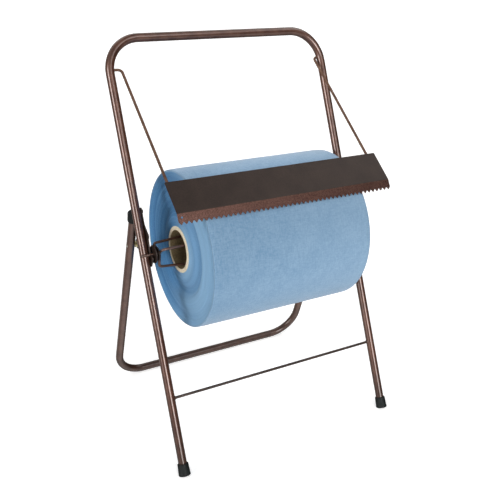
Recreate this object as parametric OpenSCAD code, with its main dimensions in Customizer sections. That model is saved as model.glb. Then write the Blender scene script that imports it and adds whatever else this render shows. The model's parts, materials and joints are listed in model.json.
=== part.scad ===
// Folding floor stand for a jumbo roll of wiper cloth, with a toothed tear-off plate.
// X runs left to right, the roll faces -Y and Z is up.
// The origin is on the floor, in the middle of the stand's outline.
// Places on the front frame are given as a length along its legs from the floor
// and as a distance behind the legs' centre lines.

/* [Front frame] */
// Distance between the centre lines of the two front legs
frame_w = 540; // [520:1:580]
// Length along a front leg from the floor to the centre line of the top bar
frame_len = 950; // [940:1:1000]
// Lean of the front frame from the vertical, in degrees
frame_lean = 24.6; // [23:0.1:26]
// Outside diameter of the bent tubes
tube_d = 19; // [18:0.25:20]
// Wall of the bent tubes
tube_wall = 1.5; // [1:0.1:2]
// Bend radius of the top corners, on the centre line
corner_r = 75; // [60:1:80]
// Diameter of the cross rod
rod_d = 6; // [5:0.5:8]
// Place of the cross rod along the legs
rod_along = 169; // [140:1:220]

/* [Rear frame] */
// Distance of the rear floor bar behind the line of the front feet
rear_bar_y = 423.5; // [410:0.5:440]
// Bend radius of the floor corners, on the centre line
rear_corner_r = 72; // [60:1:85]
// How far each rear leg stands inwards of the front leg, between centre lines
rear_set = 1.5; // [0:0.5:4]
// Place of the fold pivot above the roll's axis, along the front legs
pivot_up = 28; // [22:1:42]
// Distance of the fold pivot behind the front legs
pivot_back = 81.5; // [74:0.5:84]
// Diameter of the fold pin
pin_d = 8; // [6:0.5:9]
// Diameter and thickness of the fold pin's head
pin_head_d = 15; // [12:0.5:18]
pin_head_t = 3.5; // [2:0.25:5]
// Outside diameter of the spacer on the fold pin
spacer_d = 13; // [11:0.5:16]
// Length of the spacer on the fold pin
spacer_len = 6; // [3:0.25:7]

/* [Rubber tips] */
// Diameter of a tip at its closed end
tip_d = 26.6; // [25:0.2:28]
// Diameter of a tip at its open end
tip_neck_d = 24; // [23:0.2:25]
// Length of a tip on a front leg
tip_len = 27; // [25:1:36]
// Length of a tip on a rear leg's upper end
rear_tip_len = 23; // [20:1:36]
// Rubber beyond the end of the tube
tip_floor = 5; // [4:0.5:7]
// Rounding of a tip's edges
tip_round = 2; // [1:0.25:2.5]

/* [Side brackets] */
// Thickness of the bracket plate
plate_t = 3; // [2:0.25:4]
// Reach of the bracket above and below the roll's axis, along the front legs
bracket_up = 69; // [62:1:80]
bracket_down = 26; // [24:1:34]
// Reach of the bracket's upper strip above the roll's axis, along the front legs, and its width
strip_up = 103; // [96:1:110]
strip_w = 10; // [9.5:0.25:12]
// Reach of the bracket's upper lobe in front of the legs' centre lines
lobe_reach = 18.5; // [17:0.5:21]
// Reach of the hook under the axle in front of the legs' centre lines
hook_reach = 21; // [19:0.5:24]
// Radius of the bracket's ear around the fold pin
ear_r = 11; // [9:0.5:14]
// Diameter of the blind rivets, and of their heads
rivet_d = 4.8; // [4:0.1:6]
rivet_head_d = 9.5; // [8:0.25:11]
// Distances of the two blind rivets from the bracket's lower and upper end
rivet_low = 9; // [8:0.5:11]
rivet_top = 8; // [6:0.5:11]

/* [Roll] */
// Outside diameter of the roll of cloth
roll_d = 349; // [300:1:350]
// Width of the roll of cloth
roll_w = 390; // [360:1:400]
// Rounding of the roll's edges
roll_edge = 3; // [1:0.5:5]
// Place of the roll's axis along the front legs
roll_along = 483; // [478:1:490]
// Outside diameter and wall of the cardboard core
core_od = 103; // [95:1:110]
core_wall = 8.8; // [6:0.2:10]
// How far the core stands out of the cloth at each end
core_proud = 0.6; // [0.2:0.1:2]

/* [Chucks] */
// Diameter of the axle that lies in the bracket's notch
axle_d = 6; // [5:0.25:7]
// Distance of the chuck's outer flange from the inner side of the leg
hub_gap = 6.5; // [6:0.5:10]
// Diameters of the outer flange, the inner flange and the boss between them
flange_d = 40; // [36:1:44]
inner_flange_d = 32; // [28:1:36]
boss_d = 16; // [14:1:20]
// Thickness of a flange, and length of the boss between the flanges
flange_t = 2.5; // [2:0.25:4]
boss_len = 5; // [4:0.5:8]
// Diameter of the prong wires
prong_d = 6; // [4:0.25:6]
// Distance of the bent prongs from the axle, where they leave the bend
prong_r = 30.5; // [28:0.5:33]
// Inside bend radius of a prong, on the centre line
prong_bend = 7; // [6:0.5:9]
// Depth of the prongs in the core
prong_depth = 62; // [50:1:80]

/* [Cutter] */
// Diameter of the two arm wires
arm_d = 6; // [5:0.25:7]
// Distance of the arms' pivot holes below the centre line of the top bar
arm_drop = 67; // [58:1:75]
// Distance of an arm's centre line from the inner side of the leg, with the cutter in the middle
arm_gap = 13.5; // [13:0.5:18]
// Sideways offset of the cutter, which slides a little in the legs' holes
cutter_shift = 3; // [0:0.5:4]
// Bend radius at the top of an arm, on the centre line
arm_bend = 9; // [8:0.5:11]
// Length of an arm from its pivot to the back edge of the plate
arm_len = 300; // [296:0.5:315]
// Length of the arm that lies under the plate
arm_under = 62; // [45:1:68]
// How far an arm's end reaches into the leg
arm_in = 7; // [4:0.5:9]
// Length, width and thickness of the toothed plate's flat panel
panel_l = 520.5; // [480:0.5:534]
panel_w = 77; // [72:0.5:88]
sheet_t = 1.2; // [0.8:0.1:1.6]
// Sideways offset of the plate from the middle of the two arms
panel_shift = 5.5; // [0:0.5:9]
// Width of the folded lip, with its teeth, and its fold angle in degrees
lip_w = 25.5; // [21:0.5:27]
lip_fold = 23; // [22:1:45]
// Inside radius of the fold
fold_r = 1.5; // [1:0.25:3]
// Number and depth of the teeth
teeth = 48; // [40:1:56]
tooth_h = 6; // [4:0.5:7]
// Diameter of the hanging hole in the lip, and its distance from the lip's left end and fold
lip_hole_d = 4; // [3:0.25:5]
lip_hole_in = 9; // [7:0.5:14]
lip_hole_down = 8; // [6:0.5:10]

/* [Clearances] */
// Gap between pieces that move past or rest on each other
rest_gap = 0.3; // [0.2:0.05:0.5]
// Gap around pins and rods in their holes
fit_gap = 0.06; // [0.04:0.01:0.1]
// Gap between pieces that are fixed together
seat_gap = 0.04; // [0.02:0.01:0.08]

/* [Hidden] */
$fn = 64;
tube_r = tube_d / 2;
bore_d = tube_d - 2 * tube_wall;
leg_x = frame_w / 2;
leg_inner_x = leg_x - tube_r;
cut = 1;

// Floor outline and the frame's own origin
tip_front = tip_round * sin(frame_lean) - (tip_d / 2 - tip_round) * cos(frame_lean) - tip_round;
mid_y = (tip_front + rear_bar_y + tube_r) / 2;

// Front feet: a tip's closed end is square to the leg and is worn flat where it meets the floor
tube_low = tip_floor + tube_r * tan(frame_lean);

// Roll axis: the axle rests across the front of the legs
axle_back = -(tube_r + axle_d / 2 + rest_gap);
function frame_y(along, back) = along * sin(frame_lean) + back * cos(frame_lean);
function frame_z(along, back) = along * cos(frame_lean) - back * sin(frame_lean);
roll_y = frame_y(roll_along, axle_back);
roll_z = frame_z(roll_along, axle_back);

// Rear frame: each leg runs from its floor corner through the fold pivot
pivot_along = roll_along + pivot_up;
pivot_y = frame_y(pivot_along, pivot_back);
pivot_z = frame_z(pivot_along, pivot_back);
rear_lean = atan2(rear_bar_y - pivot_y, pivot_z - tube_r);
fold_angle = frame_lean + rear_lean;
rear_pivot_up = norm([rear_bar_y - pivot_y, pivot_z - tube_r]);
rear_x = leg_x - rear_set;
rear_inner_x = rear_x - tube_r;
rear_tip_up = rear_pivot_up
    + (pivot_back - tube_r - rest_gap - tip_d / 2 * cos(fold_angle)) / sin(fold_angle);
rear_leg_top = rear_tip_up - tip_floor;

// Side brackets: a front wing on the leg and a rear wing set inwards beside the rear leg
bracket_top = roll_along + bracket_up;
bracket_low = roll_along - bracket_down;
strip_top = roll_along + strip_up;
wing_x = leg_inner_x - seat_gap;
ear_x = rear_inner_x - rest_gap - spacer_len;
joggle_from = tube_r + 4;
joggle_to = joggle_from + 14;
notch_r = axle_d / 2 + fit_gap;
notch_rise = 14;
lobe_r = 7;
lobe_rise = 40;
flare_rise = 26;
hook_r = 6;
rivet_head_t = 2;
rivet_along = [bracket_low + rivet_low, strip_top - rivet_top];
bulb_d = 1.3 * rivet_d;
bulb_x = leg_x - sqrt(bore_d ^ 2 - bulb_d ^ 2) / 2 + seat_gap;

// Chucks
hub_x = leg_inner_x - hub_gap;
hub_inner_x = hub_x - 2 * flange_t - boss_len;
prong_lean = 1.5;
prong_x = hub_inner_x - prong_d / 2 - prong_lean;
core_id = core_od - 2 * core_wall;
prong_run = prong_x - prong_bend - roll_w / 2 + prong_depth;
prong_flare = asin((core_id / 2 - prong_d / 2 - seat_gap - prong_r) / (prong_run + prong_bend));
prong_rise = prong_r - prong_bend;
prong_angles = [-96, 24, 144];

// Cutter: it turns on the arms' bent ends
arm_along = frame_len - arm_drop;
arm_x = leg_inner_x - arm_gap;
panel_top = arm_d / 2 + seat_gap + sheet_t;
fold_out = fold_r + sheet_t;
lip_flat = lip_w - fold_out;
fold_y = fold_out - panel_top;
fold_z = fold_out - arm_len - panel_w;
tooth_y = fold_y - fold_r * cos(lip_fold) + lip_flat * sin(lip_fold);
tooth_z = fold_z - fold_r * sin(lip_fold) - lip_flat * cos(lip_fold);
axis_far = norm([arm_along - roll_along, axle_back]);
axis_turn = atan2(-axle_back, arm_along - roll_along);
roll_clear = roll_d / 2 + rest_gap;
// The plate rests on the roll with its teeth, its back edge or its panel, whichever meets it first.
// A point that is too near the pivot to meet the roll hangs towards the roll's axis.
function rest_turn(y, z) = axis_turn + atan2(y, -z)
    + acos(min(1, (axis_far ^ 2 + y ^ 2 + z ^ 2 - roll_clear ^ 2) / (2 * axis_far * norm([y, z]))));
under_y = sheet_t - panel_top;
panel_turn = asin((roll_clear + under_y) / axis_far);
panel_meet = axis_far * cos(panel_turn);
cutter_rest = max(rest_turn(tooth_y, tooth_z), rest_turn(under_y, -arm_len),
    panel_meet > arm_len && panel_meet < arm_len + panel_w ? axis_turn + panel_turn : 0);
tooth_pitch = panel_l / teeth;
tooth_blunt = 0.3;

// Colours
bronze = "#4a3029";
dark_bronze = "#3a2e2a";
rubber = "#262d2d";
brass = "#d8c66e";
cloth = "#7ba3c9";
card = "#dcc9a0";
zinc = "#a8a49a";

// Frames of reference: the front frame's plane, the rear frame's plane and the roll's axis
module on_front() {
    translate([0, -mid_y, 0]) rotate([-frame_lean, 0, 0]) children();
}

module on_rear() {
    translate([0, rear_bar_y - mid_y, tube_r]) rotate([rear_lean, 0, 0]) children();
}

module on_roll() {
    translate([0, roll_y - mid_y, roll_z]) children();
}

module on_pivot() {
    translate([0, pivot_y - mid_y, pivot_z]) children();
}

module on_cutter() {
    on_front() translate([cutter_shift, 0, arm_along]) rotate([-cutter_rest, 0, 0]) children();
}

module left() {
    mirror([1, 0, 0]) children();
}

// A round bar along X between two places
module bar_x(from, to, d) {
    translate([from, 0, 0]) rotate([0, 90, 0]) cylinder(h = to - from, d = d);
}

// A quarter bend in the XZ plane, from the +X side to the +Z side
module bend_xz(r, d) {
    rotate([90, 0, 0]) rotate_extrude(angle = 90) translate([r, 0]) circle(d = d);
}

// Points on an arc between two angles
function arc(centre, r, from, to, steps) = [for (i = [0 : steps])
    centre + r * [cos(from + (to - from) * i / steps), sin(from + (to - from) * i / steps)]];

// A bent frame as a round bar: a cross bar at z = 0, two corners and two legs down from them
module bent_path(x, r, leg, d) {
    for (side = [0, 1]) mirror([side, 0, 0]) {
        translate([x, 0, -r]) mirror([0, 0, 1]) cylinder(h = leg - r, d = d);
        translate([x - r, 0, -r]) bend_xz(r, d);
    }
    bar_x(r - x, x - r, d);
}

module bent_tube(x, r, leg) {
    difference() {
        bent_path(x, r, leg, tube_d);
        bent_path(x, r, leg + cut, bore_d);
    }
}

module front_frame() {
    color(bronze) on_front() difference() {
        translate([0, 0, frame_len]) bent_tube(leg_x, corner_r, frame_len - tube_low);
        for (side = [0, 1]) mirror([side, 0, 0]) {
            translate([0, 0, arm_along]) bar_x(leg_x - tube_d, leg_x, arm_d + 2 * fit_gap);
            for (along = rivet_along)
                translate([0, 0, along]) bar_x(leg_x - tube_r - cut, leg_x, rivet_d + 2 * seat_gap);
        }
    }
}

module cross_rod() {
    color(bronze) on_front() difference() {
        translate([0, 0, rod_along]) bar_x(-leg_x, leg_x, rod_d);
        for (x = [-leg_x, leg_x])
            translate([x, 0, rod_along - rod_d]) cylinder(h = 2 * rod_d, d = tube_d + 2 * seat_gap);
    }
}

// A rubber tip along +Z, with its closed end at z = 0 and the tube's end in its bore
module tip(floor_t, len) {
    rotate_extrude() difference() {
        union() {
            polygon([[0, 0], [tip_d / 2 - tip_round, 0], [tip_d / 2, tip_round],
                [tip_neck_d / 2, len - tip_round / 2], [tip_neck_d / 2 - tip_round / 2, len], [0, len]]);
            translate([tip_d / 2 - tip_round, tip_round]) circle(tip_round);
        }
        translate([0, floor_t]) square([tube_r + seat_gap, len]);
    }
}

module foot_tip() {
    color(rubber) difference() {
        on_front() translate([leg_x, 0, 0]) tip(tube_low, tip_len);
        translate([leg_x - tip_d, -mid_y - tip_d, -2 * tip_d]) cube([2 * tip_d, 2 * tip_d, 2 * tip_d]);
    }
}

module foot_tip_left() {
    left() foot_tip();
}

module foot_tip_right() {
    foot_tip();
}

// Side bracket seen from the side, as distance behind the leg and length along it
module bracket_outline() {
    polygon(concat([[joggle_from, bracket_top], [strip_w / 2, bracket_top + strip_w],
            [strip_w / 2, strip_top], [-strip_w / 2, strip_top],
            [-strip_w / 2, roll_along + lobe_rise + flare_rise]],
        arc([lobe_r - lobe_reach, roll_along + lobe_rise], lobe_r, 125, 250, 8),
        [[axle_back + axle_d / 4, roll_along + notch_rise]],
        arc([axle_back, roll_along], notch_r, 40, -90, 10),
        arc([hook_r - hook_reach, roll_along - notch_r - hook_r], hook_r, 90, 225, 8),
        [[-tube_r / 3, bracket_low], [joggle_from, bracket_low]],
        arc([pivot_back, pivot_along], ear_r, -100, 75, 16)));
}

// Side bracket seen from above, as distance behind the leg and distance from the middle
module bracket_bend() {
    polygon([[-2 * hook_reach, wing_x], [joggle_from, wing_x], [joggle_to, ear_x],
        [pivot_back + 2 * ear_r, ear_x], [pivot_back + 2 * ear_r, ear_x - plate_t],
        [joggle_to - plate_t / 3, ear_x - plate_t], [joggle_from - plate_t / 3, wing_x - plate_t],
        [-2 * hook_reach, wing_x - plate_t]]);
}

module side_bracket() {
    color(dark_bronze) on_front() difference() {
        intersection() {
            translate([leg_x - 2 * tube_d, 0, 0]) rotate([90, 0, 90])
                linear_extrude(2 * tube_d) bracket_outline();
            translate([0, 0, bracket_low - cut]) mirror([1, -1, 0])
                linear_extrude(strip_top - bracket_low + 2 * cut) bracket_bend();
        }
        translate([0, pivot_back, pivot_along])
            bar_x(ear_x - 2 * plate_t, leg_x, pin_d + 2 * seat_gap);
        for (along = rivet_along)
            translate([0, 0, along]) bar_x(wing_x - 2 * plate_t, leg_x, rivet_d + 2 * seat_gap);
    }
}

module side_bracket_left() {
    left() side_bracket();
}

module side_bracket_right() {
    side_bracket();
}

// Blind rivets that hold the bracket on the leg, with a bulb inside the tube
module bracket_rivets() {
    head_x = wing_x - plate_t - seat_gap;
    color(dark_bronze) on_front() for (along = rivet_along) translate([0, 0, along]) {
        bar_x(head_x - rivet_head_t, head_x, rivet_head_d);
        bar_x(head_x - cut, bulb_x + cut, rivet_d);
        bar_x(bulb_x, bulb_x + rivet_d / 2, bulb_d);
    }
}

module bracket_rivets_left() {
    left() bracket_rivets();
}

module bracket_rivets_right() {
    bracket_rivets();
}

// Fold pin: a headed pin through the bracket's ear, the spacer and the rear leg
module fold_pin() {
    head_x = ear_x - plate_t - seat_gap;
    color(zinc) on_pivot() {
        bar_x(head_x - pin_head_t, head_x, pin_head_d);
        bar_x(head_x - cut, rear_x + tube_r, pin_d);
    }
}

module fold_pin_left() {
    left() fold_pin();
}

module fold_pin_right() {
    fold_pin();
}

module pin_spacer() {
    color(brass) on_pivot() difference() {
        bar_x(ear_x + seat_gap, ear_x + spacer_len, spacer_d);
        bar_x(ear_x - cut, ear_x + spacer_len + cut, pin_d + 2 * seat_gap);
    }
}

module pin_spacer_left() {
    left() pin_spacer();
}

module pin_spacer_right() {
    pin_spacer();
}

// Rear frame: the same tube upside down, with its cross bar on the floor
module rear_frame() {
    color(bronze) difference() {
        on_rear() mirror([0, 0, 1]) bent_tube(rear_x, rear_corner_r, rear_leg_top);
        on_pivot() for (side = [0, 1]) mirror([side, 0, 0])
            bar_x(rear_inner_x - tube_r, rear_x + tube_d, pin_d + 2 * fit_gap);
    }
}

module rear_tip() {
    color(rubber) on_rear() translate([rear_x, 0, rear_tip_up])
        mirror([0, 0, 1]) tip(tip_floor, rear_tip_len);
}

module rear_tip_left() {
    left() rear_tip();
}

module rear_tip_right() {
    rear_tip();
}

// Cutter arm: hangs along -Z from its pivot, with its top end bent out into the leg
module cutter_arm() {
    straight = arm_len + arm_under;
    translate([arm_x, 0, -straight]) cylinder(h = straight - arm_bend, d = arm_d);
    translate([arm_x + arm_bend, 0, -arm_bend]) rotate([0, -90, 0]) bend_xz(arm_bend, arm_d);
    bar_x(arm_x + arm_bend, leg_inner_x + arm_in + cutter_shift, arm_d);
}

module cutter_arm_left() {
    color(bronze) on_cutter() left() cutter_arm();
}

module cutter_arm_right() {
    color(bronze) on_cutter() cutter_arm();
}

// Flat panel, fold and lip seen from the end: across the sheet and down the arm
module plate_profile() {
    lip_end = lip_flat * [sin(lip_fold), -cos(lip_fold)];
    outer = arc([fold_y, fold_z], fold_out, 180, 180 + lip_fold, 6);
    inner = arc([fold_y, fold_z], fold_r, 180 + lip_fold, 180, 6);
    polygon(concat([[sheet_t - panel_top, -arm_len], [-panel_top, -arm_len]],
        outer, [outer[6] + lip_end, inner[0] + lip_end], inner));
}

// The gaps between the teeth, with the lip laid flat: along the plate and down from the fold
module tooth_gaps() {
    polygon(concat([for (i = [0 : teeth - 1]) each [[i * tooth_pitch, tooth_h - lip_flat],
            [(i + 0.5) * tooth_pitch, -lip_flat - tooth_blunt]]],
        [[panel_l, tooth_h - lip_flat], [panel_l, -2 * lip_flat], [0, -2 * lip_flat]]));
}

module cutter_plate() {
    color(dark_bronze) on_cutter() translate([panel_shift - panel_l / 2, 0, 0]) difference() {
        rotate([90, 0, 90]) linear_extrude(panel_l) plate_profile();
        translate([0, fold_y, fold_z]) rotate([lip_fold, 0, 0]) translate([0, sheet_t - fold_r, 0])
            rotate([90, 0, 0]) linear_extrude(3 * sheet_t) {
                tooth_gaps();
                translate([lip_hole_in, -lip_hole_down]) circle(d = lip_hole_d);
            }
    }
}

// Roll of cloth on its cardboard core
module wiper_roll() {
    half = roll_w / 2;
    color(cloth) on_roll() rotate([0, 90, 0]) rotate_extrude() {
        difference() {
            translate([core_od / 2 + seat_gap, -half])
                square([roll_d / 2 - core_od / 2 - seat_gap, roll_w]);
            for (end = [-1, 1]) translate([roll_d / 2 - roll_edge, end * (half - roll_edge / 2) - roll_edge / 2])
                square([roll_edge + cut, roll_edge]);
        }
        for (end = [-1, 1]) translate([roll_d / 2 - roll_edge, end * (half - roll_edge)])
            circle(roll_edge);
    }
}

module core_tube() {
    half = roll_w / 2 + core_proud;
    color(card) on_roll() difference() {
        bar_x(-half, half, core_od);
        bar_x(-half - cut, half + cut, core_id);
    }
}

// Chuck: an axle, a flanged hub and three bent prongs that grip the core
module chuck_axle() {
    color(bronze) on_roll() bar_x(prong_x - prong_d / 2, leg_x + tube_r, axle_d);
}

module chuck_axle_left() {
    left() chuck_axle();
}

module chuck_axle_right() {
    chuck_axle();
}

module chuck_hub() {
    color(dark_bronze) on_roll() difference() {
        union() {
            bar_x(hub_x - flange_t, hub_x, flange_d);
            bar_x(hub_inner_x, hub_x, boss_d);
            bar_x(hub_inner_x, hub_inner_x + flange_t, inner_flange_d);
        }
        bar_x(hub_inner_x - cut, hub_x + cut, axle_d + 2 * seat_gap);
    }
}

module chuck_hub_left() {
    left() chuck_hub();
}

module chuck_hub_right() {
    chuck_hub();
}

// One prong in the XY plane: up from the axle along +Y, then along -X, leaning to flare outwards
module prong() {
    rotate([0, 0, -prong_flare]) {
        translate([0, prong_rise, 0]) rotate([90, 0, 0])
            cylinder(h = prong_rise - axle_d / 2 - rest_gap, d = prong_d);
        translate([-prong_bend, prong_rise, 0]) rotate_extrude(angle = 90)
            translate([prong_bend, 0]) circle(d = prong_d);
        translate([-prong_bend, prong_r, 0]) rotate([0, -90, 0]) cylinder(h = prong_run, d = prong_d);
    }
}

module chuck_prongs() {
    color(bronze) on_roll() translate([prong_x, 0, 0])
        for (angle = prong_angles) rotate([angle, 0, 0]) prong();
}

module chuck_prongs_left() {
    left() chuck_prongs();
}

module chuck_prongs_right() {
    chuck_prongs();
}

front_frame();
cross_rod();
foot_tip_left();
foot_tip_right();
side_bracket_left();
side_bracket_right();
bracket_rivets_left();
bracket_rivets_right();
fold_pin_left();
fold_pin_right();
pin_spacer_left();
pin_spacer_right();
rear_frame();
rear_tip_left();
rear_tip_right();
cutter_arm_left();
cutter_arm_right();
cutter_plate();
wiper_roll();
core_tube();
chuck_axle_left();
chuck_axle_right();
chuck_hub_left();
chuck_hub_right();
chuck_prongs_left();
chuck_prongs_right();
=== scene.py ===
# %% [markdown]
# # Wiper roll stand
# A folding floor stand of bent bronze-coloured tube that carries a wide roll of blue wiper cloth.
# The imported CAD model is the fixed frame: its tubes, wires and axles stay as they are and get
# better finishes here. The cloth, the board core, the toothed plate and the small stamped and
# turned pieces are built again, because a CAD solid has no wound layers, softened edges or welds.

# %% Load the frame
import json
from math import acos, asin, atan2, cos, degrees, pi, radians, sin, sqrt

import bmesh
import bpy
from mathutils import Matrix, Vector, noise


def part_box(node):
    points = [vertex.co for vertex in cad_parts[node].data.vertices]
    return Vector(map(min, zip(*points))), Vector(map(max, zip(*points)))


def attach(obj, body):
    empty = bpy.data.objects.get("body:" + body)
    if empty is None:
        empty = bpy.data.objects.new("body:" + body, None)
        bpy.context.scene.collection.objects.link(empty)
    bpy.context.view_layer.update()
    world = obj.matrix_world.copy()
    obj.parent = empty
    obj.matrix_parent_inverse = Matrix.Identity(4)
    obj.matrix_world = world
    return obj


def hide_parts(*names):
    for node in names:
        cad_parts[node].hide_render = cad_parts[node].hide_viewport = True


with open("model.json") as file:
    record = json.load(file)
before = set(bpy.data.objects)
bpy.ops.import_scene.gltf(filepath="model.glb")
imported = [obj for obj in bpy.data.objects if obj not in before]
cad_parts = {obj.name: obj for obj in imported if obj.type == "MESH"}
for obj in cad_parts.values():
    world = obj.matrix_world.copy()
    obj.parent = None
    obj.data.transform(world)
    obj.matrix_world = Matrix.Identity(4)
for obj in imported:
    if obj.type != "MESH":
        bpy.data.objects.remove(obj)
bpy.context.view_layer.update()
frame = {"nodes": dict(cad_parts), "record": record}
scene = bpy.context.scene
MM = 0.001
joints = {joint["name"]: Vector(joint["pos_m"]) for joint in frame["record"]["behaviour"]["joints"]}

# %% [markdown]
# ## Camera
# The photograph looks down on the stand from the front left. A camera could be aimed by hand, but
# here its place and its three axes come from fitting the stand's straight tubes to the picture, so
# the render and the photograph can be laid over each other.

# %% Camera
PICTURE = 500
FOCAL = 724.6
RIGHT = Vector((0.8712, -0.4901, 0.0290))
UP = Vector((0.1743, 0.3639, 0.9150))
EYE = Vector((-0.7824, -1.3451, 1.0816))

lens = bpy.data.cameras.new("camera")
lens.sensor_fit = "HORIZONTAL"
lens.sensor_width = 36.0
lens.lens = lens.sensor_width * FOCAL / PICTURE
lens.clip_end = 200.0
camera = bpy.data.objects.new("camera", lens)
scene.collection.objects.link(camera)
across = RIGHT.normalized()
back = across.cross(UP).normalized()
upright = back.cross(across)
camera.matrix_world = Matrix.Translation(EYE) @ Matrix((across, upright, back)).transposed().to_4x4()
scene.camera = camera
print("camera", round(lens.lens, 2), "mm, looking down", round(degrees(asin(back.z)), 1), "degrees")

# %% [markdown]
# ## Shader sums
# Every finish is made of nodes. To keep the recipes readable, a small class wraps one socket, so
# that a sum in Python adds the Math nodes. Any other node comes from one method, which first takes
# the node's settings and then the values or links of its sockets.

# %% Shader sums
class Amount:
    """One shader value that can be used in a Python sum."""

    def __init__(self, finish, socket):
        self.finish, self.socket = finish, socket

    def sum(self, operation, first, second=0.0):
        return self.finish.node("ShaderNodeMath", {"operation": operation}, {0: first, 1: second})

    def __add__(self, other):
        return self.sum("ADD", self, other)

    def __sub__(self, other):
        return self.sum("SUBTRACT", self, other)

    def __mul__(self, other):
        return self.sum("MULTIPLY", self, other)

    def __truediv__(self, other):
        return self.sum("DIVIDE", self, other)

    def __pow__(self, other):
        return self.sum("POWER", self, other)

    def __radd__(self, other):
        return self.sum("ADD", other, self)

    def __rsub__(self, other):
        return self.sum("SUBTRACT", other, self)

    def __rmul__(self, other):
        return self.sum("MULTIPLY", other, self)

    def __rtruediv__(self, other):
        return self.sum("DIVIDE", other, self)

    def __abs__(self):
        return self.sum("ABSOLUTE", self)

    def step(self, low, high):
        """Rises smoothly from 0 at low to 1 at high."""
        return self.finish.node("ShaderNodeMapRange", {"interpolation_type": "SMOOTHSTEP"},
                                {"Value": self, "From Min": low, "From Max": high})


class Finish:
    """One node tree, of a material or of the world."""

    def __init__(self, owner):
        owner.use_nodes = True
        self.owner, self.tree = owner, owner.node_tree
        self.tree.nodes.clear()

    def node(self, kind, settings=None, sockets=None, out=0):
        made = self.tree.nodes.new(kind)
        for name, value in (settings or {}).items():
            setattr(made, name, value)
        for name, value in (sockets or {}).items():
            socket = made.inputs[name]
            if isinstance(value, Amount):
                self.tree.links.new(value.socket, socket)
            elif hasattr(value, "__len__") and len(value) == 3 and socket.type == "RGBA":
                socket.default_value = (*value, 1.0)
            else:
                socket.default_value = value
        return Amount(self, made.outputs[out]) if len(made.outputs) else None

    def place(self):
        """Where a point is, in its piece's own frame, in metres."""
        return self.node("ShaderNodeTexCoord", out="Object")

    def parts(self, vector):
        made = self.node("ShaderNodeSeparateXYZ", None, {0: vector}).socket.node
        return [Amount(self, made.outputs[i]) for i in range(3)]

    def scaled(self, vector, by):
        return self.node("ShaderNodeVectorMath", {"operation": "MULTIPLY"}, {0: vector, 1: by})

    def noise(self, vector, size, detail=2.0, rough=0.5):
        """Cloudy noise whose blotches are about size metres across."""
        return self.node("ShaderNodeTexNoise", None, {"Vector": vector, "Scale": 1.0 / size,
                                                      "Detail": detail, "Roughness": rough})

    def cells(self, vector, size):
        """Smooth distance to the nearest of a scatter of points, about size metres apart."""
        return self.node("ShaderNodeTexVoronoi", {"feature": "SMOOTH_F1"},
                         {"Vector": vector, "Scale": 1.0 / size})

    def mix(self, share, first, second):
        return self.node("ShaderNodeMix", {"data_type": "RGBA"}, {0: share, 6: first, 7: second}, out=2)

    def bump(self, height, depth):
        return self.node("ShaderNodeBump", None, {"Height": height, "Distance": depth, "Strength": 1.0})

    def surface(self, sockets):
        shader = self.node("ShaderNodeBsdfPrincipled", None, sockets)
        self.node("ShaderNodeOutputMaterial", None, {"Surface": shader})
        return self.owner


def new_finish(name):
    return Finish(bpy.data.materials.new(name))


# %% [markdown]
# ## Studio
# Product pictures like this one are lit by two softboxes, one in front and one at the left. In a round
# tube each of them shows as a long bright stripe, with the dark room between and beside them, and the
# stripes fade near the feet, where the tubes mirror the pale floor instead. Area lights could do that,
# but their reflections slide along the tubes. So the boxes are painted in the world, by direction. Two
# smaller reflectors, high on the right and beside the front box, brighten the flat plate and its lip.

# %% Studio
world = bpy.data.worlds.new("studio")
scene.world = world
studio = Finish(world)
toward = studio.node("ShaderNodeTexCoord", out="Generated")
east, north, height = studio.parts(toward)
turn = east.sum("ARCTAN2", east, 0.0 - north)


def softbox(middle, half, edge, low, high, fade):
    """Brightness of a box around one compass direction, in degrees from the front to the right."""
    away = abs(turn - radians(middle))
    beside = 1.0 - away.step(radians(half - edge), radians(half + edge))
    return beside * height.step(low - fade, low + fade) * (1.0 - height.step(high - fade, high + fade))


BOX, LIP_LIGHT, HIGH_LIGHT, CEILING, BEHIND = 9.0, 5.0, 1.9, 0.28, 0.6
left_box = softbox(-77.0, 11.0, 4.0, 0.0, 0.55, 0.14)
front_box = softbox(-3.0, 12.0, 4.0, 0.06, 0.50, 0.12)
lip_box = softbox(25.0, 6.0, 4.0, 0.46, 0.62, 0.06)
high_right = softbox(78.0, 45.0, 25.0, 0.68, 0.84, 0.08)
behind = abs(turn).step(radians(125.0), radians(160.0)) * height.step(0.35, 0.60)
dark_right = 1.0 - abs(turn - radians(100.0)).step(radians(35.0), radians(85.0))
front_floor = 1.0 - abs(turn + radians(5.0)).step(radians(50.0), radians(105.0))
below = 1.0 - height.step(-0.45, -0.05)
above = height.step(0.45, 0.75) - 0.75 * height.step(0.82, 0.96)
room = 0.02 + 0.16 * (1.0 - dark_right)
ground = 0.38 - 0.22 * dark_right + 0.56 * front_floor
level = ((1.0 - below) * room + below * ground + CEILING * above + HIGH_LIGHT * high_right
         + BOX * left_box + BOX * front_box + LIP_LIGHT * lip_box + BEHIND * behind)
glow = studio.node("ShaderNodeBackground", None, {"Color": (1.0, 0.985, 0.97), "Strength": level})
studio.node("ShaderNodeOutputWorld", None, {"Surface": glow})
scene.view_settings.view_transform = "Standard"
print("studio of", len(studio.tree.nodes), "nodes, with two softboxes and two reflectors")

# %% [markdown]
# ## Floor and backdrop
# The floor glows a little, so that it stays plain and pale, and the world stands in for its own light.
# From a low angle the painted boxes would show behind the stand. Real walls could hide them, but walls
# would show in every reflection. So a white tent is put around the stand, which only the camera sees.

# %% Floor and backdrop
FLOOR, TENT = 60.0, 25.0
CORNERS = ((-1, -1), (1, -1), (1, 1), (-1, 1))


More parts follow.
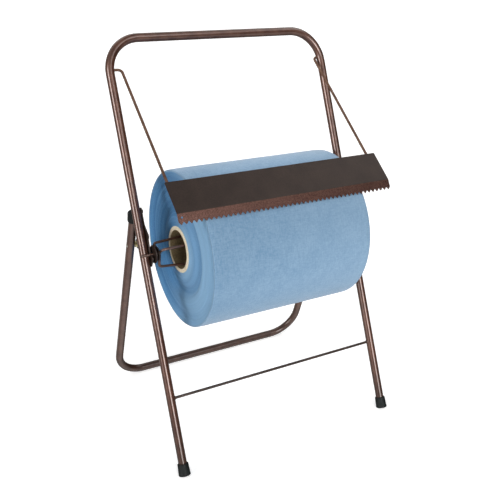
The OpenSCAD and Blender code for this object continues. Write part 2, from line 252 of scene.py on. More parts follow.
def stage_piece(name, points, faces, sockets):
    mesh = bpy.data.meshes.new(name)
    mesh.from_pydata(points, [], faces)
    mesh.materials.append(new_finish(name + "_paper").surface(sockets))
    made = bpy.data.objects.new(name, mesh)
    scene.collection.objects.link(made)
    made.visible_glossy = made.visible_diffuse = False
    return made


stage_piece("floor", [(x * FLOOR, y * FLOOR, 0.0) for x, y in CORNERS], [(0, 1, 2, 3)], {
    "Base Color": (0.82, 0.82, 0.82), "Roughness": 0.9, "Specular IOR Level": 0.0,
    "Emission Color": (1.0, 1.0, 1.0), "Emission Strength": 0.55})
tent_points = [(x * TENT, y * TENT, z * TENT) for z in (-0.01, 1.0) for x, y in CORNERS]
tent_walls = [(i, (i + 1) % 4, (i + 1) % 4 + 4, i + 4) for i in range(4)]
backdrop = stage_piece("backdrop", tent_points, tent_walls + [(4, 5, 6, 7)], {
    "Base Color": (0.0, 0.0, 0.0), "Roughness": 1.0, "Specular IOR Level": 0.0,
    "Emission Color": (1.0, 1.0, 1.0), "Emission Strength": 1.0})
backdrop.visible_shadow = backdrop.visible_transmission = False
backdrop.data.materials[0].cycles.emission_sampling = "NONE"
print("floor of", 2 * FLOOR, "m and backdrop of", 2 * TENT, "m")

# %% [markdown]
# ## Fill lamps
# Light that comes back from the floor and the ceiling fills the cloth's shaded sides. Two soft lamps near
# the roll give it. They are hidden from the camera and from reflections, so the tubes keep their stripes.

# %% Fill lamps
FILLS = (("bounce", (0.9, 0.5), 2.4, (0.15, -0.50, 0.01), 155.0),
         ("sky", (0.5, 0.25), 0.42, (0.0, 0.04, 0.83), 0.0))
for name, size, power, place, tilt in FILLS:
    lamp = bpy.data.lights.new(name, "AREA")
    lamp.shape, lamp.energy = "RECTANGLE", power
    lamp.size, lamp.size_y = size
    fill = bpy.data.objects.new(name, lamp)
    fill.location, fill.rotation_euler = place, (radians(tilt), 0.0, 0.0)
    fill.visible_glossy = fill.visible_camera = False
    scene.collection.objects.link(fill)
print("fill lamps:", ", ".join(row[0] for row in FILLS))

# %% [markdown]
# ## Enamel on the tubes
# The tubes and wires have a baked bronze-brown enamel with a fine hammered skin: small dimples, metal
# flakes that tint the highlights, and a clear glossy top. One flat brown would look like plastic, so
# the flakes change the colour and the metal share from spot to spot, and a clear coat carries the stripes.
# Scuffs dull it, and towards the floor it is painted darker and duller, a painted shade. The arms are duller
# all over, and the cross rod has a darker copy of the enamel, a painted shade.

# %% Enamel
DIMPLE_DEPTH = 0.10 * MM
SCUFF = 4.0 * MM
# Colour of the painted shade near the floor.
PAINTED_FLOOR_SHADE = (0.012, 0.009, 0.007)


def enamel(name, dark, light, metal, dimple, gloss, coat):
    f = new_finish(name)
    where = f.place()
    flakes = f.noise(where, 0.6 * dimple, detail=3.0, rough=0.6)
    blotch = f.noise(where, 9.0 * dimple, detail=2.0)
    scuffs = f.noise(f.scaled(where, (1.0, 1.0, 0.2)), SCUFF, detail=5.0, rough=0.7)
    pits = f.cells(where, dimple)
    spot = (0.55 * flakes + 0.45 * blotch).step(0.36, 0.66)
    # Painted shade: the enamel turns darker and duller towards the floor.
    painted_floor_shade = 1.0 - f.parts(where)[2].step(0.03, 0.16)
    dull = scuffs.step(0.60, 0.72) + 0.6 * painted_floor_shade
    return f.surface({
        "Base Color": f.mix(0.5 * painted_floor_shade, f.mix(spot, dark, light), PAINTED_FLOOR_SHADE),
        "Metallic": metal - 0.12 * spot,
        "Roughness": gloss + 0.10 * flakes.step(0.4, 0.8) + 0.15 * dull,
        "Normal": f.bump(pits + 0.25 * flakes, DIMPLE_DEPTH),
        "Coat Weight": coat - 0.35 * coat * dull, "Coat Roughness": 0.07, "Coat IOR": 1.5})


TUBE = enamel("bronze_enamel", (0.070, 0.027, 0.017), (0.136, 0.058, 0.037), 0.45, 2.2 * MM, 0.28, 1.0)
WIRE = enamel("wire_enamel", (0.064, 0.030, 0.020), (0.135, 0.068, 0.048), 0.55, 1.8 * MM, 0.30, 1.0)
# The cross rod's darker copy of the enamel is painted shade.
SHADED_ROD = enamel("rod_enamel_painted_shade", (0.026, 0.013, 0.009), (0.058, 0.030, 0.020), 0.55, 1.8 * MM, 0.30, 0.6)
ARM = enamel("arm_enamel", (0.078, 0.036, 0.021), (0.150, 0.076, 0.046), 0.40, 1.8 * MM, 0.45, 0.2)
TUBES = ("front_frame", "rear_frame")
RODS = ("cross_rod",)
WIRES = ("chuck_axle_left", "chuck_axle_right", "chuck_prongs_left", "chuck_prongs_right")
ARMS = ("cutter_arm_left", "cutter_arm_right")
for names, finish in ((TUBES, TUBE), (RODS, SHADED_ROD), (WIRES, WIRE), (ARMS, ARM)):
    for name in names:
        frame["nodes"][name].data.materials[0] = finish
print("enamel on", len(TUBES), "tubes and", len(RODS + WIRES + ARMS), "wires")

# %% [markdown]
# ## Plate enamel, rubber, brass and zinc
# The toothed plate and the brackets have a flatter, coarser enamel over bare sheet. On the folded lip, light
# glances off its metal flakes and looks copper-coloured, so the lip has a recipe with more metal in it.
# Rubber is matt with a dusty bloom, and the small turned pieces show fine tool marks.

# %% Other hard finishes
def plate_enamel(name, dark, light, metal, lump, depth, rough, patchy):
    f = new_finish(name)
    where = f.place()
    grain = f.noise(where, 1.6 * MM, detail=4.0, rough=0.65)
    cloud = f.noise(where, 45 * MM, detail=2.0)
    lumps = f.cells(where, lump)
    tone = ((1.0 - patchy) * grain + patchy * cloud).step(0.36, 0.66)
    return f.surface({
        "Base Color": f.mix(tone, dark, light),
        "Metallic": metal, "Roughness": rough + 0.14 * grain,
        "Normal": f.bump(lumps + 0.5 * grain, depth),
        "Coat Weight": 0.1, "Coat Roughness": 0.3})


def rubber():
    f = new_finish("tip_rubber")
    where = f.place()
    dust = f.noise(where, 10 * MM, detail=4.0, rough=0.6)
    skin = f.noise(where, 1.2 * MM, detail=2.0)
    return f.surface({
        "Base Color": f.mix(dust.step(0.42, 0.80), (0.005, 0.007, 0.007), (0.015, 0.019, 0.019)),
        "Roughness": 0.40 + 0.25 * dust, "Specular IOR Level": 0.20,
        "Normal": f.bump(skin + 0.8 * dust, 0.10 * MM)})


def turned(name, dark, light, metal, rough):
    f = new_finish(name)
    where = f.place()
    marks = f.noise(f.scaled(where, (9.0, 1.0, 1.0)), 4 * MM, detail=3.0)
    stain = f.noise(where, 6 * MM, detail=3.0)
    return f.surface({
        "Base Color": f.mix(stain.step(0.35, 0.7), dark, light), "Metallic": metal,
        "Roughness": rough + 0.15 * stain, "Normal": f.bump(marks, 0.06 * MM)})


PLATE = plate_enamel("plate_enamel", (0.025, 0.0152, 0.012), (0.041, 0.0258, 0.0202), metal=0.5,
                     lump=3.0 * MM, depth=0.12 * MM, rough=0.36, patchy=0.3)
LIP = plate_enamel("lip_enamel", (0.058, 0.029, 0.022), (0.192, 0.098, 0.078), metal=0.9,
                   lump=2.6 * MM, depth=0.16 * MM, rough=0.30, patchy=0.06)
RUBBER = rubber()
# The brass's pale, nearly unmetallic base is painted light: it keeps the spacer bright in the shade between
# the legs.
BRASS = turned("turned_brass", (0.88, 0.74, 0.30), (1.0, 0.93, 0.55), 0.10, 0.24)
ZINC = turned("zinc_plate", (0.42, 0.40, 0.36), (0.68, 0.66, 0.60), 0.95, 0.30)
print("five more hard finishes")

# %% [markdown]
# ## Building helpers
# A new piece is a list of points and faces. It is moved to its place in the stand, rides on one of the
# CAD bodies, and says which CAD nodes it stands for.

# %% Building helpers
def settle(made, body, stands_for=()):
    """Puts a finished object on its body and hides the CAD nodes it stands for."""
    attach(made, body)
    if stands_for:
        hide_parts(*stands_for)
    return made


def new_object(name, mesh, origin=None):
    made = bpy.data.objects.new(name, mesh)
    scene.collection.objects.link(made)
    if origin is not None:
        made.matrix_world = origin
    return made


def piece(name, points, faces, finishes, body, stands_for=(), sharp=35.0, zones=None, origin=None):
    mesh = bpy.data.meshes.new(name)
    mesh.from_pydata([tuple(p) for p in points], [], faces)
    for finish in finishes:
        mesh.materials.append(finish)
    if zones is not None:
        mesh.polygons.foreach_set("material_index", zones)
    mesh.validate()
    built = bmesh.new()
    built.from_mesh(mesh)
    bmesh.ops.remove_doubles(built, verts=built.verts, dist=1e-6)
    bmesh.ops.recalc_face_normals(built, faces=built.faces)
    built.to_mesh(mesh)
    built.free()
    mesh.shade_smooth()
    mesh.set_sharp_from_angle(angle=radians(sharp))
    return settle(new_object(name, mesh, origin), body, stands_for)


def middle_of(node):
    low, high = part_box(node)
    return (low + high) / 2


def smooth(low, high, value):
    share = min(1.0, max(0.0, (value - low) / (high - low)))
    return share * share * (3.0 - 2.0 * share)


# %% [markdown]
# ## Roll of cloth
# The roll is hundreds of turns of thin nonwoven cloth on a board core. It could be a plain cylinder with a
# ring pattern painted on its ends, but the edges of the turns catch light and shade. So each end is one
# long spiral of narrow ridges, every turn a little further in or out than the next. The inner turns have
# slipped outwards, so the end has a raised middle with a trough around it, then a low ridge, a shallow dip
# and a rim. The outer turn ends in a torn edge at the top.

# %% Roll sizes
roll_low, roll_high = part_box("wiper_roll")
core_low, core_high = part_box("core_tube")
ROLL_AXIS = middle_of("wiper_roll")
ROLL_R = (roll_high.z - roll_low.z) / 2
ROLL_HALF = (roll_high.x - roll_low.x) / 2
CORE_R = (core_high.z - core_low.z) / 2
INNER_R = CORE_R + 0.04 * MM
TURN_PITCH = 2.4 * MM
PER_TURN = 3
SPOKES = 240
ROWS = 56
RIM = 4.5 * MM
RIM_STEPS = 7
FREE_END = radians(112.0)
LAYER_STEP = 0.8 * MM
TORN_SPOKES = (0.0012, 0.003, 0.006, 0.010)
TORN_FROM, TORN_TO = 0.001, 0.011
RIDGE, SWAY, SUNK = 0.36 * MM, 0.8 * MM, 0.9 * MM
RIM_FADE, CORE_FADE = 8 * MM, 3 * MM
full_turn = 2 * pi
print("roll:", round(2 * ROLL_HALF / MM), "mm wide,", round(2 * ROLL_R / MM), "mm across")


# %% Roll ends
def winding(turns, seed):
    """How far one turn stands out of the end, as the winder leaves it."""
    slow = noise.noise(Vector((turns * 0.35, seed, 0.0)))
    quick = noise.noise(Vector((turns * 1.9, seed, 7.0)))
    return 0.45 * MM * quick + 0.8 * MM * slow


def slipped(r):
    """How far in the end lies at a radius: a raised middle, a trough, a ridge, a dip and a rim."""
    trough = 9.0 * smooth(70 * MM, 94 * MM, r) - 8.0 * smooth(96 * MM, 114 * MM, r)
    dip = 4.0 * smooth(116 * MM, 150 * MM, r) - 4.5 * smooth(152 * MM, 172 * MM, r)
    return MM * (1.0 + trough + dip)


def ragged(x):
    """The torn edge's wander around the roll, in radians."""
    slow = 0.005 * noise.noise(Vector((x * 55.0, 3.0, 0.0)))
    quick = 0.002 * noise.noise(Vector((x * 260.0, 5.0, 0.0)))
    return -0.007 + slow + quick


def end_points(angle, outer, side):
    """Depth and radius along one spoke of the roll's end, from the core to the rim."""
    c, s = cos(angle), sin(angle)
    made = []
    samples = int(((ROLL_R - INNER_R) / TURN_PITCH + 1) * PER_TURN) + 2
    for i in range(samples):
        r = INNER_R + TURN_PITCH * (i / PER_TURN - 1.0 + angle / full_turn)
        r = min(max(r, INNER_R), outer - RIM)
        edge = min(1.0, (outer - RIM - r) / RIM_FADE, (r - INNER_R) / CORE_FADE)
        ridge = 0.0 if i % PER_TURN == 0 else RIDGE
        sway = SWAY * noise.noise(Vector((c * 1.3, s * 1.3, r * 25.0 + side * 9.0)))
        loose = winding((r - INNER_R) / TURN_PITCH, side * 3.0) + ridge + sway
        made.append((max(0.0, slipped(r) + edge * (SUNK - loose)), r))
    return made


print("roll's end:", round(slipped(95 * MM) / MM, 1), "mm deep in the trough")


# %% Roll outside
def wave(x, angle):
    """Slow unevenness of the outer turn, with the sides drawn in a little."""
    c, s = cos(angle), sin(angle)
    near = max(0.0, 1.0 - (ROLL_HALF - abs(x)) / (24 * MM))
    slow = noise.noise(Vector((x * 9.0, c * 2.2, s * 2.2)))
    quick = noise.noise(Vector((x * 26.0, c * 6.0, s * 6.0)))
    return -0.20 * MM * (1.0 + slow) - near * near * MM * (0.7 + 0.4 * quick)


def spoke(angle):
    """All points around the roll's section at one angle: left end, outside and right end."""
    shift = 1.0 if full_turn - TORN_TO < angle < full_turn - TORN_FROM else 0.0
    layer_end = full_turn - TORN_SPOKES[1]
    share = min(1.0, angle / layer_end)
    outer = ROLL_R - LAYER_STEP * (1.0 - share if angle <= layer_end + 1e-6 else 1.0)
    left, right = (end_points(angle, outer, side) for side in (-1, 1))
    bend = [(pi / 2 * k / RIM_STEPS) for k in range(1, RIM_STEPS + 1)]
    rim = [(slipped(outer - RIM) * (1 - sin(a)) + RIM * (1 - cos(a)), outer - RIM + RIM * sin(a))
           for a in bend]
    made = [(deep - ROLL_HALF, r) for deep, r in left]
    made += [(deep - ROLL_HALF, r) for deep, r in rim]
    made += [((2 * k / ROWS - 1.0) * (ROLL_HALF - RIM), outer) for k in range(1, ROWS)]
    made += [(ROLL_HALF - deep, r) for deep, r in reversed(rim)]
    made += [(ROLL_HALF - deep, r) for deep, r in reversed(right)]
    points = []
    for x, r in made:
        r += wave(x, angle) * max(0.0, (r - outer + RIM) / RIM)
        at = angle + FREE_END + shift * ragged(x)
        points.append((x, r * cos(at), r * sin(at)))
    return points, len(left)


def roll_mesh():
    even = [full_turn * i / SPOKES for i in range(SPOKES + 1)]
    angles = sorted(even + [full_turn - d for d in TORN_SPOKES])
    points, faces, zones = [], [], []
    for j, angle in enumerate(angles):
        ring, samples = spoke(angle)
        count = len(ring)
        points += ring
        for i in range(count if j else 0):
            k = (i + 1) % count
            before, now = (j - 1) * count, j * count
            faces.append((before + i, before + k, now + k, now + i))
            zones.append(0 if samples - 1 <= i < count - samples else 1)
    return points, faces, zones


# %% [markdown]
# ## Cloth finishes
# Nonwoven cloth is a mat of fibres pressed with a fine pattern. From a step away that is a soft mottle, with
# short streaks along and around the roll. The ends show the cut edges of the turns, which are darker and
# bluer, because light goes in between them, so they get a finish of their own with rings of uneven tone.
# The outside is painted a little paler towards the right end and the cut edges paler on the front side, both
# painted light; each end's trough keeps less of it, a painted shade.

# %% Cloth outside
def cloth_outside():
    f = new_finish("cloth_outside")
    where = f.place()
    fibre = f.noise(where, 1.3 * MM, detail=4.0, rough=0.7)
    mottle = f.noise(where, 4.0 * MM, detail=3.0, rough=0.6)
    lengthwise = f.noise(f.scaled(where, (0.22, 1.0, 1.0)), 2.6 * MM, detail=2.0)
    around = f.noise(f.scaled(where, (1.0, 0.22, 0.22)), 2.6 * MM, detail=2.0)
    cloud = f.noise(where, 55 * MM, detail=2.0)
    tone = (0.26 * fibre + 0.22 * mottle + 0.18 * lengthwise + 0.20 * around + 0.14 * cloud).step(0.38, 0.62)
    # Painted light: paler towards the right end.
    painted_light_share = f.parts(where)[0].step(-0.20, 0.25)
    fresh = f.mix(tone, (0.126, 0.240, 0.376), (0.206, 0.329, 0.468))
    return f.surface({
        "Base Color": f.mix(0.16 * painted_light_share, fresh, (0.340, 0.460, 0.580)),
        "Roughness": 0.82 + 0.12 * fibre, "Specular IOR Level": 0.2,
        "Sheen Weight": 0.45, "Sheen Roughness": 0.45, "Sheen Tint": (0.85, 0.92, 1.0),
        "Normal": f.bump(fibre + mottle + 0.6 * lengthwise + 0.6 * around, 0.30 * MM)})


CLOTH = cloth_outside()
print("cloth outside:", len(CLOTH.node_tree.nodes), "nodes")


# %% Cloth ends
def cloth_ends():
    f = new_finish("cloth_ends")
    where = f.place()
    y, z = f.parts(where)[1:]
    radius = (y * y + z * z) ** 0.5
    along_turns = f.node("ShaderNodeCombineXYZ", None, {0: radius * 260.0, 1: y * 6.0, 2: z * 6.0})
    rings = f.node("ShaderNodeTexNoise", None,
                   {"Vector": along_turns, "Scale": 1.0, "Detail": 4.0, "Roughness": 0.65})
    bands = f.node("ShaderNodeTexNoise", {"noise_dimensions": "1D"},
                   {"W": radius * 95.0, "Scale": 1.0, "Detail": 2.0})
    fibre = f.noise(where, 1.8 * MM, detail=3.0, rough=0.7)
    tone = (0.30 * rings + 0.26 * bands + 0.44 * fibre).step(0.34, 0.66)
    rim = radius.step(ROLL_R - 12 * MM, ROLL_R - 1 * MM)
    # Painted shade: the trough between these radii keeps only half of the painted light.
    groove = radius.step(58 * MM, 74 * MM) - radius.step(96 * MM, 106 * MM)
    body = f.mix(tone, (0.039, 0.140, 0.305), (0.093, 0.240, 0.445))
    # Painted light: the cut edges turn paler towards the front side.
    painted_light_share = (0.0 - y / radius).step(-0.7, 0.8)
    painted_front_light = f.mix(0.68 * painted_light_share * (1.0 - 0.5 * groove), body, (0.280, 0.470, 0.660))
    return f.surface({
        "Base Color": f.mix(0.5 * rim, painted_front_light, (0.170, 0.330, 0.520)),
        "Roughness": 0.9, "Specular IOR Level": 0.15,
        "Sheen Weight": 0.08, "Sheen Roughness": 0.5, "Sheen Tint": (0.8, 0.9, 1.0),
        "Normal": f.bump(rings + 0.7 * fibre, 0.50 * MM)})


CUT_EDGES = cloth_ends()
print("cloth ends:", len(CUT_EDGES.node_tree.nodes), "nodes")

# %% Cloth roll
points, faces, zones = roll_mesh()
cloth_roll = piece("cloth_roll", points, faces, [CLOTH, CUT_EDGES], "roll", ["wiper_roll"],
                   sharp=60.0, zones=zones, origin=Matrix.Translation(ROLL_AXIS))
print("roll of cloth:", len(cloth_roll.data.vertices), "points")

# %% [markdown]
# ## Board core
# The core is a thick tube of spiral-wound board. Its cut ends show the plies as fine rings, and a seam winds
# along the bore. A lathe profile gives the rings and the softened edges, and the finish paints the seam.

# %% Board core
def lathe(profile, turns):
    """Points and faces of a closed profile of (x, radius) pairs, turned around the X axis."""
    points, faces = [], []
    count = len(profile)
    for j in range(turns):
        angle = full_turn * j / turns
        points += [(x, r * cos(angle), r * sin(angle)) for x, r in profile]
        for i in range(count):
            k, n = (i + 1) % count, (j + 1) % turns
            faces.append((j * count + i, j * count + k, n * count + k, n * count + i))
    return points, faces


CORE_HALF = (core_high.x - core_low.x) / 2
CORE_WALL = 8.8 * MM
CORE_BORE = CORE_R - CORE_WALL
PLIES, CORE_SIDES = 8, 128
PLY_GROOVE, CORE_EDGE = 0.22 * MM, 0.45 * MM
SEAM_PITCH = 155 * MM


def core_profile():
    end = []
    ply = (CORE_R - CORE_BORE) / PLIES
    for i in range(PLIES):
        r = CORE_R - i * ply
        groove = PLY_GROOVE if i else CORE_EDGE
        end += [(CORE_HALF - groove, r - (0.06 * MM if i else 0.0)),
                (CORE_HALF, r - 0.30 * ply), (CORE_HALF - 0.04 * MM, r - 0.75 * ply)]
    end.append((CORE_HALF - CORE_EDGE, CORE_BORE))
    return end + [(-x, r) for x, r in reversed(end)]


def core_board():
    f = new_finish("core_board")
    where = f.place()
    x, y, z = f.parts(where)
    radius = (y * y + z * z) ** 0.5
    pulp = f.noise(where, 2.8 * MM, detail=4.0, rough=0.65)
    flecks = f.noise(f.scaled(where, (1.0, 0.35, 0.35)), 1.6 * MM, detail=2.0)
    winds = y.sum("ARCTAN2", y, z) / full_turn + x / SEAM_PITCH
    seam = winds.sum("FRACT", winds)
    line = 1.0 - abs(seam - 0.5).step(0.004, 0.012)
    inside = 1.0 - radius.step(CORE_BORE + 0.2 * MM, CORE_BORE + 1.1 * MM)
    cut = f.mix((0.6 * pulp + 0.4 * flecks).step(0.35, 0.7), (0.60, 0.52, 0.38), (0.84, 0.77, 0.61))
    kraft = f.mix(pulp.step(0.35, 0.7), (0.140, 0.103, 0.052), (0.225, 0.170, 0.092))
    bore = f.mix(0.6 * line, kraft, (0.090, 0.064, 0.032))
    return f.surface({
        "Base Color": f.mix(inside, cut, bore), "Roughness": 0.88, "Specular IOR Level": 0.25,
        "Normal": f.bump(pulp + 0.5 * flecks - 1.5 * line * inside, 0.16 * MM)})


points, faces = lathe(core_profile(), CORE_SIDES)
piece("board_core", points, faces, [core_board()], "roll", ["core_tube"],
      origin=Matrix.Translation(ROLL_AXIS))
print("board core:", PLIES, "plies,", round(2 * CORE_BORE / MM, 1), "mm bore")

# %% [markdown]
# ## Toothed plate
# The plate is stamped flat, with its teeth and a hanging hole, and then folded along its lip. It is made the
# same way here: a flat outline is filled, cut along the lines of the fold, and every point is carried round
# the fold. A solidify step gives it its thickness, and a bevel takes the sharp edge off the sheet, with its
# normals hardened so that the flat faces shade as flat. The arms hang from their pivots until the teeth
# touch the roll, so the angle is worked out from that.

# %% Plate sizes
ARM_LEN, PANEL_W, SHEET = 300.0 * MM, 77.0 * MM, 1.2 * MM
ARM_R, SEAT_GAP, REST_GAP = 3.0 * MM, 0.04 * MM, 0.3 * MM
FOLD_R, LIP_W, LIP_FOLD = 1.5 * MM, 25.5 * MM, radians(23)
TEETH, TOOTH_H = 48, 6.0 * MM
HOLE_R, HOLE_IN, HOLE_DOWN = 2.0 * MM, 9.0 * MM, 8.0 * MM
TIP_FLAT, ROOT_HALF, ROOT_DEEP = 0.35 * MM, 1.1 * MM, 0.75 * MM
plate_low, plate_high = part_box("cutter_plate")
PANEL_TOP = ARM_R + SEAT_GAP + SHEET
FOLD_OUT = FOLD_R + SHEET
LIP_FLAT = LIP_W - FOLD_OUT
FLAT = PANEL_W - FOLD_OUT
BEND = FOLD_OUT * LIP_FOLD
SHEET_DOWN = FLAT + BEND + LIP_FLAT
HOLE_SIDES, FOLD_CUTS = 24, 7
CORNER, SOFT_EDGE = 1.2 * MM, 0.25 * MM
print("flat sheet:", round((plate_high.x - plate_low.x) / MM, 1), "by", round(SHEET_DOWN / MM, 1), "mm")


# %% Fold and hang
def folded(x, down, inner=0.0):
    """Carries a point of the flat sheet round the fold, on the sheet's outer face or that far inside it."""
    if down <= FLAT:
        return Vector((x, inner - PANEL_TOP, -ARM_LEN - down))
    angle = min((down - FLAT) / FOLD_OUT, LIP_FOLD)
    run = max(0.0, down - FLAT - BEND)
    bend_r = FOLD_OUT - inner
    y = FOLD_OUT - PANEL_TOP - bend_r * cos(angle) + run * sin(LIP_FOLD)
    z = FOLD_OUT - ARM_LEN - PANEL_W - bend_r * sin(angle) - run * cos(LIP_FOLD)
    return Vector((x, y, z))


def resting_turn():
    """The arms' angle from the vertical when the teeth's inner edge is a hair's breadth off the roll."""
    pivot = joints["cutter_swing"] - ROLL_AXIS
    far = sqrt(pivot.y ** 2 + pivot.z ** 2)
    tooth = folded(0.0, SHEET_DOWN, SHEET)
    reach = sqrt(tooth.y ** 2 + tooth.z ** 2)
    opening = acos((far ** 2 + reach ** 2 - (ROLL_R + REST_GAP) ** 2) / (2 * far * reach))
    return atan2(pivot.y, pivot.z) + atan2(tooth.y, -tooth.z) + opening


HANG = resting_turn()
CUTTER = Matrix.Translation(joints["cutter_swing"]) @ Matrix.Rotation(-HANG, 4, "X")
print("the arms hang", round(degrees(HANG), 2), "degrees from the vertical")


# %% Toothed plate
def plate_outline():
    """The flat sheet's edge: across it, and down from its back edge to the teeth."""
    left, right = plate_low.x, plate_high.x
    pitch = (right - left) / TEETH
    root = SHEET_DOWN - TOOTH_H
    outline = [(left, CORNER), (left + CORNER, 0.0), (right - CORNER, 0.0), (right, CORNER), (right, root)]
    for i in range(TEETH - 1, -1, -1):
        tip_x = left + (i + 0.5) * pitch
        tip = SHEET_DOWN - 0.25 * MM * (1 + noise.noise(Vector((i * 3.7, 0.0, 0.0))))
        outline += [(tip_x + TIP_FLAT, tip), (tip_x - TIP_FLAT, tip)]
        if i:
            mid = left + i * pitch + 0.15 * MM * noise.noise(Vector((i * 5.3, 2.0, 0.0)))
            outline += [(mid + ROOT_HALF * cos(a), root + ROOT_DEEP * (1.0 - sin(a)))
                        for a in (pi * k / 6 for k in range(7))]
    return outline + [(left, root)]


def plate_piece():
    built = bmesh.new()
    loop = [built.verts.new((x, d, 0.0)) for x, d in plate_outline()]
    edges = [built.edges.new((loop[i], loop[(i + 1) % len(loop)])) for i in range(len(loop))]
    hole_x, hole_d = plate_low.x + HOLE_IN, FLAT + BEND + HOLE_DOWN
    ring = [built.verts.new((hole_x + HOLE_R * cos(a), hole_d + HOLE_R * sin(a), 0.0))
            for a in (full_turn * i / HOLE_SIDES for i in range(HOLE_SIDES))]
    edges += [built.edges.new((ring[i], ring[(i + 1) % HOLE_SIDES])) for i in range(HOLE_SIDES)]
    bmesh.ops.triangle_fill(built, use_beauty=True, edges=edges)
    for down in (FLAT, *(FLAT + BEND * i / FOLD_CUTS for i in range(1, FOLD_CUTS)), FLAT + BEND):
        bmesh.ops.bisect_plane(built, geom=built.verts[:] + built.edges[:] + built.faces[:], dist=1e-7,
                               plane_co=(0.0, down, 0.0), plane_no=(0.0, 1.0, 0.0))
    for face in built.faces:
        face.smooth = True
        face.material_index = 1 if min(vert.co.y for vert in face.verts) > FLAT + 0.8 * BEND else 0
    for vert in built.verts:
        vert.co = folded(vert.co.x, vert.co.y)
    bmesh.ops.recalc_face_normals(built, faces=built.faces)
    if sum(face.normal.y * face.calc_area() for face in built.faces) > 0:
        bmesh.ops.reverse_faces(built, faces=built.faces)
    mesh = bpy.data.meshes.new("toothed_plate")
    mesh.materials.append(PLATE)
    mesh.materials.append(LIP)
    built.to_mesh(mesh)
    built.free()
    made = new_object("toothed_plate", mesh, CUTTER)
    thick = made.modifiers.new("thickness", "SOLIDIFY")
    thick.thickness, thick.offset = SHEET, -1.0
    soft = made.modifiers.new("soft_edge", "BEVEL")
    soft.width, soft.segments = SOFT_EDGE, 2
    soft.limit_method, soft.angle_limit = "ANGLE", radians(50)
    soft.harden_normals = True
    return settle(made, "cutter", ["cutter_plate"])


toothed_plate = plate_piece()
print("toothed plate:", TEETH, "teeth,", len(toothed_plate.data.polygons), "faces before its thickness")

# %% [markdown]
# ## Softened small pieces
# Stamped, turned and moulded pieces have no sharp edges: a press rolls them, and paint rounds them further.
# Each CAD solid is copied, its flat faces are joined again, and every clearly folded edge is bevelled.

# %% Softened small pieces
CLEAR_FOLD = radians(35)


def softened(node, finish, width):
    built = bmesh.new()
    built.from_mesh(frame["nodes"][node].data)
    bmesh.ops.remove_doubles(built, verts=built.verts, dist=1e-6)
    bmesh.ops.dissolve_limit(built, angle_limit=radians(0.5), verts=built.verts, edges=built.edges)
    folds = [edge for edge in built.edges
             if len(edge.link_faces) == 2 and edge.calc_face_angle() > CLEAR_FOLD]
    bmesh.ops.bevel(built, geom=folds, offset=width, segments=3, profile=0.5, affect="EDGES",
                    clamp_overlap=True)
    mesh = bpy.data.meshes.new(node + "_soft")
    built.to_mesh(mesh)
    built.free()
    if "custom_normal" in mesh.attributes:
        mesh.attributes.remove(mesh.attributes["custom_normal"])
    mesh.materials.clear()
    mesh.materials.append(finish)
    mesh.shade_smooth()
    mesh.set_sharp_from_angle(angle=CLEAR_FOLD)
    body = next(body for body, nodes in frame["record"]["behaviour"]["bodies"].items() if node in nodes)
    return settle(new_object(node + "_soft", mesh), body, [node])


SMALL = (("side_bracket", PLATE, "dark_bronze", 0.6 * MM), ("bracket_rivets", PLATE, "dark_bronze", 0.8 * MM),
         ("chuck_hub", PLATE, "dark_bronze", 0.6 * MM), ("fold_pin", ZINC, "zinc", 0.7 * MM),
         ("pin_spacer", BRASS, "brass", 0.4 * MM), ("foot_tip", RUBBER, "rubber", 0.7 * MM),
         ("rear_tip", RUBBER, "rubber", 0.7 * MM))
small_pieces = [softened(f"{name}_{side}", finish, width)
                for name, finish, slot, width in SMALL for side in ("left", "right")]
print("softened:", len(small_pieces), "pieces")

# %% [markdown]
# ## Weld beads
# The rod is welded to the legs, the arms to the underside of the plate and the prongs to their axles. A bead
# is a chain of small overlapping drops, so it is drawn as a tube along the seam, whose thickness ripples.

# %% Weld beads
SIDEWAYS = Vector((1.0, 0.0, 0.0))


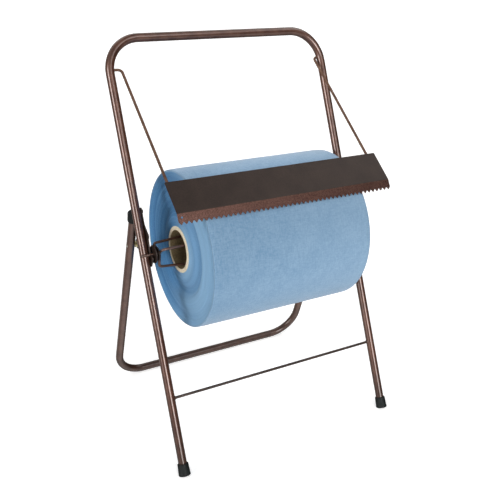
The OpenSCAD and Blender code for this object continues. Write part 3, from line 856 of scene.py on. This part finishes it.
def weld(name, path, size, body, closed):
    points, faces = [], []
    count, sides = len(path), 10
    for i, here in enumerate(path):
        ahead = path[(i + 1) % count] if closed or i + 1 < count else here
        before = path[i - 1] if closed or i else here
        along = (ahead - before).normalized()
        side = along.cross(SIDEWAYS).normalized()
        up = side.cross(along)
        end = 1.0 if closed else 0.25 + 0.75 * sin(pi * i / (count - 1)) ** 0.5
        r = size * end * (0.82 + 0.24 * abs(sin(i * 0.75)) + 0.15 * noise.noise(here * 900.0))
        for k in range(sides):
            a = full_turn * k / sides
            points.append(here + side * (r * cos(a)) + up * (r * sin(a)))
    for i in range(count if closed else count - 1):
        n = (i + 1) % count
        for k in range(sides):
            m = (k + 1) % sides
            faces.append((i * sides + k, i * sides + m, n * sides + m, n * sides + k))
    if not closed:
        faces += [tuple(range(sides)), tuple((count - 1) * sides + k for k in range(sides))]
    return piece(name, points, faces, [WIRE], body)


# %% Weld places
rod_low, rod_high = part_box("cross_rod")
rod_middle = middle_of("cross_rod")
ROD_BEAD, ROD_WELD_R, ROD_WELD_IN = 1.1 * MM, 3.4 * MM, 1.0 * MM
PRONG_BEAD, PRONG_WELD_R, PRONG_WELD_IN = 1.7 * MM, 4.2 * MM, 2.2 * MM
ARM_BEAD, ARM_WELD_OUT, ARM_WELD_UP = 0.9 * MM, 2.6 * MM, 0.5 * MM
SEAM_FROM, SEAM_TO, SEAM_STEP = 8, 58, 2
beads = []


def around(x, middle, r, count=40):
    """A ring of points across the X direction."""
    return [Vector((x, middle.y + r * cos(a), middle.z + r * sin(a)))
            for a in (full_turn * i / count for i in range(count))]


for side, sign, end_x in (("left", -1, rod_low.x), ("right", 1, rod_high.x)):
    ring = around(end_x - sign * ROD_WELD_IN, rod_middle, ROD_WELD_R)
    beads.append(weld(f"rod_weld_{side}", ring, ROD_BEAD, "stand", True))
    prong_low, prong_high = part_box(f"chuck_prongs_{side}")
    root_x = prong_low.x if side == "left" else prong_high.x
    ring = around(root_x - sign * PRONG_WELD_IN, ROLL_AXIS, PRONG_WELD_R)
    beads.append(weld(f"prong_weld_{side}", ring, PRONG_BEAD, "roll", True))
    arm_low, arm_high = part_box(f"cutter_arm_{side}")
    arm_x = arm_high.x - ARM_R if side == "left" else arm_low.x + ARM_R
    for edge in (-1, 1):
        seam_x, seam_y = arm_x + edge * ARM_WELD_OUT, SHEET - PANEL_TOP + ARM_WELD_UP
        seam = [CUTTER @ Vector((seam_x, seam_y, -ARM_LEN - d * MM))
                for d in range(SEAM_FROM, SEAM_TO, SEAM_STEP)]
        where = "in" if edge * sign < 0 else "out"
        beads.append(weld(f"arm_weld_{side}_{where}", seam, ARM_BEAD, "cutter", False))
print("weld beads:", len(beads))
